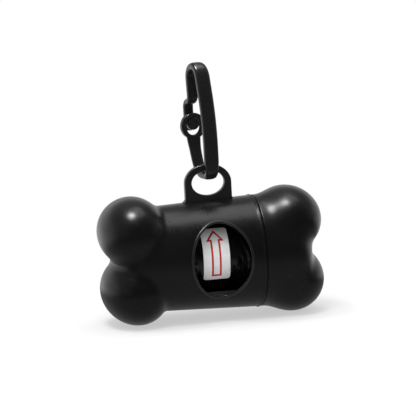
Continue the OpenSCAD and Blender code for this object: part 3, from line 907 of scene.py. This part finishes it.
def bandTree(values):
    # sweeps a soft-cornered section along a path whose points say how wide and thick it is there
    tree, value, outside = geometryTree("bandSweep", values)
    unit = 0.001   # radius of the round section before it is stretched
    path = addNode(tree, "GeometryNodeMeshToCurve", {"Mesh": value["Geometry"]}).outputs["Curve"]
    strip = swept(path, circle(tree, value["Profile Steps"], unit), True)

    def stored(name, kind):
        return addNode(tree, "GeometryNodeInputNamedAttribute", {"Name": name}, data_type=kind).outputs["Attribute"]

    def softened(part, size):
        share = mathNode("DIVIDE", part, unit)
        power = mathNode("POWER", mathNode("ABSOLUTE", share), value["Corner"])
        return times(times(mathNode("SIGN", share), power), size)

    centre, along = stored("centre", "FLOAT_VECTOR"), stored("normal", "FLOAT_VECTOR")
    offset = vectorNode("SUBTRACT", position(tree), centre)["Vector"]
    x = softened(split(offset)["X"], stored("halfWidth", "FLOAT"))
    t = softened(vectorNode("DOT_PRODUCT", offset, along)["Value"], stored("halfThick", "FLOAT"))
    spread = addNode(tree, "ShaderNodeVectorMath", {0: along, "Scale": t}, operation="SCALE").outputs["Vector"]
    place = vectorNode("ADD", vectorNode("ADD", spread, centre)["Vector"], combine(x, 0.0, 0.0))["Vector"]
    endTree(moved(strip, place), value["Material"], outside)
    return tree


def band(name, path):
    path = roundedEnds(path)
    mesh = bpy.data.meshes.new(name)
    centres = [(0.0, y * mm, z * mm) for y, z, head, width, thick in path]
    normals = [(0.0, -math.sin(math.radians(at[2])), math.cos(math.radians(at[2]))) for at in path]
    mesh.from_pydata(centres, [(i, i + 1) for i in range(len(path) - 1)], [])
    for label, vectors in (("centre", centres), ("normal", normals)):
        attribute = mesh.attributes.new(label, "FLOAT_VECTOR", "POINT")
        attribute.data.foreach_set("vector", [c for vector in vectors for c in vector])
    for label, column in (("halfWidth", 3), ("halfThick", 4)):
        attribute = mesh.attributes.new(label, "FLOAT", "POINT")
        attribute.data.foreach_set("value", [at[column] / 2 * mm for at in path])
    return grown(name, bandTree, {"Corner": clipSizes["corner"], "Profile Steps": clipSizes["profileSteps"],
                                  "Material": glossClip}, mesh)


def turned(name, outline, centre, sides=72):
    # a pin or boss turned about Y, from its (distance, radius) outline
    points, faces = [], []
    angles = [2 * math.pi * k / sides for k in range(sides)]
    for y, radius in outline:
        points += [(centre[0] + radius * math.cos(a), centre[1] + y, centre[2] + radius * math.sin(a)) for a in angles]
    for i in range(len(outline) - 1):
        for k in range(sides):
            a, b = i * sides + k, i * sides + (k + 1) % sides
            faces.append((a, b, b + sides, a + sides))
    faces.append(tuple(reversed(range(sides))))
    faces.append(tuple((len(outline) - 1) * sides + k for k in range(sides)))
    return closedPiece(name, points, faces)


def moulded(name, pieces):
    # runs overlapping pieces into one moulding with soft inner corners, then turns it to its place
    piece = joined(name, pieces)
    melt = piece.modifiers.new("melt", "REMESH")
    melt.mode = "VOXEL"
    melt.voxel_size = clipSizes["voxel"]
    melt.use_smooth_shade = True
    soften = piece.modifiers.new("soften", "SMOOTH")
    soften.factor = 0.5
    soften.iterations = clipSizes["rounds"]
    piece = bake(piece)
    piece.data.transform(Matrix.Rotation(math.radians(clipSizes["yaw"]), 4, "Z"))
    piece.data.update()
    smooth(piece)
    return piece


def hookPath():
    # from the gate's root down to the bar, up the spine, over the top and down the leg to the stepped nose
    c = clipSizes
    run, bow, over = math.radians(c["rootHeading"]), math.radians(c["bow"]), 180 - c["bow"]
    ramp = (c["rootRise"] - c["rampRadius"] * (1 - math.cos(run))) / math.sin(run)
    barStart = c["rootY"] - ramp * math.cos(run) - c["rampRadius"] * math.sin(run)
    bowRadius = c["bowLength"] / bow
    legY = (-c["spineY"] + bowRadius * (1 - math.cos(bow)) + c["spineHigh"] * math.sin(bow)
            + c["topRadius"] * (1 + math.cos(bow)))
    topZ = (c["barZ"] + c["bendRadius"] + c["spineLow"] + bowRadius * math.sin(bow)
            + c["spineHigh"] * math.cos(bow) - c["topRadius"] * math.sin(bow))
    turn = math.degrees(math.acos(1 - (c["noseY"] - legY) / (2 * c["stepRadius"])))
    noseEnd = pegZ - gateSizes["slotPegRadius"] - c["noseBelowPeg"]
    leg = topZ - (noseEnd + c["noseLength"]) - 2 * c["stepRadius"] * math.sin(math.radians(turn))
    step = c["stepRadius"] * math.radians(turn)
    bar, w, t, nw, nt = (c[k] for k in ("barWidth", "width", "thick", "noseWidth", "noseThick"))
    steps = [(ramp, 0, 6, bar, t),
             (c["rampRadius"] * run, -c["rootHeading"], 12, bar, t),
             (barStart + c["spineY"] - c["bendRadius"], 0, 6, bar, t),
             (c["bendRadius"] * math.pi / 2, -90, 24, (bar + w) / 2, t),
             (c["spineWiden"], 0, 8, w, t),
             (c["spineLow"] - c["spineWiden"], 0, 8, w, t),
             (c["bowLength"], -c["bow"], 30, w, t),
             (c["spineHigh"], 0, 8, w, t),
             (c["topRadius"] * math.radians(over), -over, 48, nw + c["topExtra"], t),
             (leg, 0, 12, nw + c["legExtra"], t - c["legThinner"]),
             (step, turn, 16, nw, nt),
             (step, -turn, 16, nw, nt),
             (c["noseLength"], 0, 12, nw, nt)]
    return turtlePath(steps, (c["rootY"], c["barZ"] + c["rootRise"]), 180 + c["rootHeading"], bar, t)


def makeHook():
    c = clipSizes
    radius, pad, tip = c["pegRadius"], c["noseThick"] / 2 - c["padSink"], c["noseThick"] / 2 + c["pegLength"]
    collar = [(pad - along, radius + out) for along, out in c["padRings"]]
    outline = collar + [(-y, size) for y, size in reversed(collar)] + [(-pad - c["padLap"], radius)]
    outline += [(along - tip, radius + out) for along, out in c["tipRings"]]
    return moulded("clipHook", [band("hookBand", hookPath()), turned("peg", outline, (0, c["noseY"], pegZ))])


def makeGate():
    c, g = clipSizes, gateSizes
    heading, lean = math.radians(c["rootHeading"]), math.radians(g["lean"])
    startY = c["rootY"] + g["rootGap"] * math.cos(heading)
    startZ = c["barZ"] + c["rootRise"] + g["rootGap"] * math.sin(heading)
    bowY = ringY - startY - g["rootRadius"] * (math.sin(lean) - math.sin(heading))
    bowZ = g["ringZ"] - g["ringRadius"] + g["ringLap"] - startZ - g["rootRadius"] * (math.cos(heading) - math.cos(lean))
    bowTurn = 2 * (math.atan2(bowZ, bowY) - lean)
    bowLength = math.hypot(bowY, bowZ) * (bowTurn / 2) / math.sin(bowTurn / 2)
    low, high, thick = g["lowShare"], 1 - g["lowShare"], g["tongueThick"]
    steps = [(g["rootRadius"] * (lean - heading), g["lean"] - c["rootHeading"], 16, g["lowWidth"], thick),
             (bowLength * low, math.degrees(bowTurn) * low, 20, g["lowWidth"] + g["lowWiden"], thick),
             (bowLength * high, math.degrees(bowTurn) * high, 16, g["tongueWidth"], thick)]
    path = turtlePath(steps, (startY, startZ), c["rootHeading"], g["rootWidth"], thick - g["rootThinner"])
    wide, rise = g["slotWidth"], (g["slotHeight"] - g["slotWidth"]) / 2
    slot = ovalLoop(wide, wide, 40, (0, rise), 0, 180) + ovalLoop(wide, wide, 40, (0, -rise), 180, 360)
    rim = ovalLoop(2 * g["ringRadius"], 2 * g["ringRadius"], 96)
    ring = flatOutline("gateRing", [rim, slot], g["ringThick"], g["ringEdge"], (0, ringY, g["ringZ"]))
    return moulded("gateTongue", [band("tongueBand", path), ring])


finished(makeHook(), "clip", ["clip_hook"], glossClip)
finished(makeGate(), "gate", ["clip_gate"], glossClip)
print("clip done")


# camera, floor and studio
camera = {"azimuth": -12.0, "elevation": 9.0, "roll": 3.1, "distance": 1000.0, "scale": 0.365, "pixels": 416,
          "middle": (209.25, 254.2), "pivotX": -0.8, "sensor": 36.0}


def placeCamera():
    c = camera
    a, e, roll = (math.radians(c[k]) for k in ("azimuth", "elevation", "roll"))
    look = Vector((-math.sin(a) * math.cos(e), math.cos(a) * math.cos(e), -math.sin(e)))
    right = Vector((math.cos(a), math.sin(a), 0))
    up = right.cross(look)
    rolledRight = right * math.cos(roll) - up * math.sin(roll)
    rolledUp = up * math.cos(roll) + right * math.sin(roll)
    offX = (c["pixels"] / 2 - c["middle"][0]) * c["scale"]
    offY = (c["middle"][1] - c["pixels"] / 2) * c["scale"]
    pivot = Vector((c["pivotX"], 0, -boneSizes["axisDrop"]))
    eye = pivot - look * c["distance"]
    aim = (pivot + rolledRight * offX + rolledUp * offY - eye).normalized()
    side = (rolledRight - aim * rolledRight.dot(aim)).normalized()
    data = bpy.data.cameras.new("photoCamera")
    data.sensor_width = c["sensor"]
    data.lens = c["sensor"] / (c["pixels"] * c["scale"] / c["distance"])
    data.clip_start, data.clip_end = 0.01, 50.0
    eyeObject = placed("photoCamera", data)
    turn = Matrix((side, side.cross(-aim) * -1, -aim)).transposed().to_4x4()
    eyeObject.matrix_world = Matrix.Translation(eye * mm) @ turn
    bpy.context.scene.camera = eyeObject


placeCamera()

# lamps: power, place, size and turn; cones: direction, inner and outer angle
studio = {
    "floorZ": -49.6, "floorHalf": 9000.0, "floorWhite": 0.80, "floorRough": 0.9, "share": 0.52, "fade": (0.08, 0.22),
    "mirrorBack": (-0.04, 0.12), "mirrorShadowEnd": (0.05, 0.16), "mirrorNear": (0.04, 0.20), "floorShadowGlow": 0.34,
    "floorFar": 0.04, "dome": (0.0, 0.8, 0.10, 0.85), "behind": (0.0, 0.4), "backTop": (0.25, 0.5), "overBack": 0.35,
    "dimCone": ((0.15, -0.97, 0.25), 35, 75), "ahead": 0.02, "aside": 0.36,
    "glintCone": ((-0.20, 0.03, 0.98), 5.0, 12.0), "glint": 48.0, "aim": (0, 0, -0.02),
    "spot": (1.3, (-0.20, 0.02, 0.78), (0.20, 0.10), 41.0),
    "top": (1.7, (0.12, 0.15, 0.80), (0.50, 0.50), 0.0),
    "front": (2.6, (-0.14, -0.30, 0.71), (0.26, 0.26), 0.0),
}


def makeFloor():
    s = studio
    corners = [(x * s["floorHalf"], y * s["floorHalf"], s["floorZ"]) for x, y in ((-1, -1), (1, -1), (1, 1), (-1, 1))]
    floor = meshPiece("studioFloor", corners, [(0, 1, 2, 3)])
    material, tree, shader = shaderBase("studioFloor")
    coat(shader, (s["floorWhite"],) * 3 + (1,), s["floorRough"], specular=0.0)
    place = objectPlace(tree)
    distance = vectorNode("LENGTH", place)["Value"]
    path = addNode(tree, "ShaderNodeLightPath").outputs
    seen = mathNode("MAXIMUM", path["Is Camera Ray"], path["Is Transmission Ray"])
    glow, mirrored = (addNode(tree, "ShaderNodeEmission", {"Strength": 1.0}) for k in range(2))
    fade = rampNode(distance, *s["fade"], s["share"], 1.0)
    shown = mixShader(times(fade, seen), shader.outputs["BSDF"], glow.outputs["Emission"])
    # the gloss sees the floor as a glow, white behind the object and dim ahead of it; close round the object it is held
    # dim, a painted shadow under the object in reflections
    lit = times(rampNode(split(place)["Y"], *s["mirrorBack"]), rampNode(distance, *s["mirrorShadowEnd"]))
    near = rampNode(distance, *s["mirrorNear"], s["floorShadowGlow"], s["floorFar"])
    feed(mirrored.inputs["Strength"], mathNode("MAXIMUM", lit, near))
    out = next(node for node in tree.nodes if node.type == "OUTPUT_MATERIAL")
    feed(out.inputs["Surface"], mixShader(path["Is Glossy Ray"], shown, mirrored.outputs["Emission"]))
    floor.data.materials.append(material)


def softbox(name, power, place, size, turn):
    data = bpy.data.lights.new(name, "AREA")
    data.shape = "RECTANGLE"
    data.size, data.size_y = size
    data.energy = power
    lamp = placed(name, data)
    lamp.location = place
    facing = (Vector(place) - Vector(studio["aim"])).to_track_quat("Z", "Y")
    lamp.rotation_euler = (Matrix.Rotation(math.radians(turn), 3, "Z").to_quaternion() @ facing).to_euler()
    return lamp


def makeWorld():
    # the camera sees white all round; the gloss sees a white backdrop behind the object and a dim room in front
    s = studio
    world = bpy.data.worlds.new("studio")
    world.use_nodes = True
    tree = world.node_tree
    tree.nodes.clear()
    direction = addNode(tree, "ShaderNodeTexCoord").outputs["Generated"]
    at = split(direction)

    def cone(towards, inner, outer, within, beyond):
        # a soft-edged disc of the sky, by its angles in degrees
        facing = vectorNode("DOT_PRODUCT", direction, Vector(towards).normalized())["Value"]
        return rampNode(facing, math.cos(math.radians(outer)), math.cos(math.radians(inner)), beyond, within)

    behind = rampNode(at["Y"], *s["behind"])
    low = rampNode(at["Z"], *s["backTop"], 1.0, s["overBack"])
    room = plus(times(behind, low), times(minus(1.0, behind), cone(*s["dimCone"], s["ahead"], s["aside"])))
    seen = addNode(tree, "ShaderNodeBackground", {"Color": (1, 1, 1, 1)}).outputs["Background"]
    gloss = addNode(tree, "ShaderNodeBackground", {
        "Strength": plus(room, cone(*s["glintCone"], s["glint"], 0.0))}).outputs["Background"]
    dome = addNode(tree, "ShaderNodeBackground", {
        "Color": (1, 1, 1, 1), "Strength": rampNode(at["Z"], *s["dome"])}).outputs["Background"]
    path = addNode(tree, "ShaderNodeLightPath").outputs
    straight = mathNode("MAXIMUM", path["Is Camera Ray"], path["Is Transmission Ray"])
    shown = mixShader(straight, mixShader(path["Is Glossy Ray"], dome, gloss), seen)
    addNode(tree, "ShaderNodeOutputWorld", {"Surface": shown})
    bpy.context.scene.world = world


makeFloor()
for lampName in ("spot", "top"):
    softbox(lampName + "Light", *studio[lampName])
softbox("frontLight", *studio["front"]).visible_glossy = False
makeWorld()
bpy.context.scene.view_settings.view_transform = "Standard"
print("studio ready")
